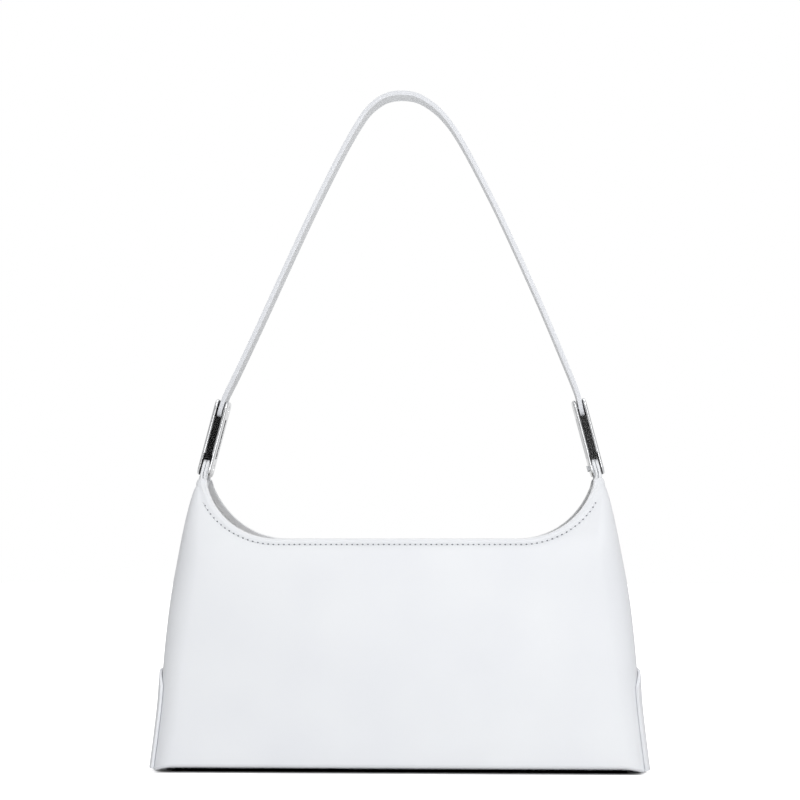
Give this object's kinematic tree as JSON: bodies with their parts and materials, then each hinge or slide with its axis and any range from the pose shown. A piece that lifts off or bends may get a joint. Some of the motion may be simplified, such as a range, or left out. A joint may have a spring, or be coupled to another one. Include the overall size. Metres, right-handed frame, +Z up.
{
  "type": "shoulder bag",
  "caption": "Small structured shoulder bag: A-shaped leather body with a scooped open mouth, one strap carried by two slotted chrome links, magnetic snap inside.",
  "frame": {"origin": "on the ground under the middle of the bag", "axes": "+Z up through the strap, +X to the bag's right seen from the front, -Y towards the front"},
  "size_m": [0.277, 0.0754, 0.3802],
  "materials": {
    "leather": "smooth white calf, semi-gloss",
    "chrome": "polished",
    "board": "fibre board",
    "lining": "plain woven"
  },
  "bodies": {
    "body": {"front_panel": "leather", "back_panel": "leather", "gusset_left": "leather", "gusset_right": "leather", "ear_facing_left": "leather", "ear_facing_right": "leather", "corner_patch_left": "leather", "corner_patch_right": "leather", "base_panel": "leather", "front_facing": "leather", "back_facing": "leather", "base_board": "board", "lining": "lining", "slip_pocket": "lining", "snap_socket": "chrome", "snap_stud": "chrome"},
    "link_left": {"link_left": "chrome", "ear_screw_left": "chrome", "strap_screw_left": "chrome"},
    "link_right": {"link_right": "chrome", "ear_screw_right": "chrome", "strap_screw_right": "chrome"},
    "strap": {"strap_outer": "leather", "strap_lining": "leather"}
  },
  "joints": [
    {"name": "ear_pivot_left", "type": "hinge", "parent": "body", "child": "link_left", "pos_m": [-0.11016, 0, 0.1688], "axis": [1, 0, 0], "range_deg": [-25, 25]},
    {"name": "ear_pivot_right", "type": "hinge", "parent": "body", "child": "link_right", "pos_m": [0.11016, 0, 0.1688], "axis": [1, 0, 0], "range_deg": [-25, 25]},
    {"name": "strap_pivot", "type": "hinge", "parent": "link_left", "child": "strap", "pos_m": [-0.10142, 0, 0.20176], "axis": [1, 0, 0], "range_deg": [-15, 15]}
  ],
  "couplings": [
    {"joint": "ear_pivot_right", "follows": "ear_pivot_left", "ratio": 1}
  ]
}
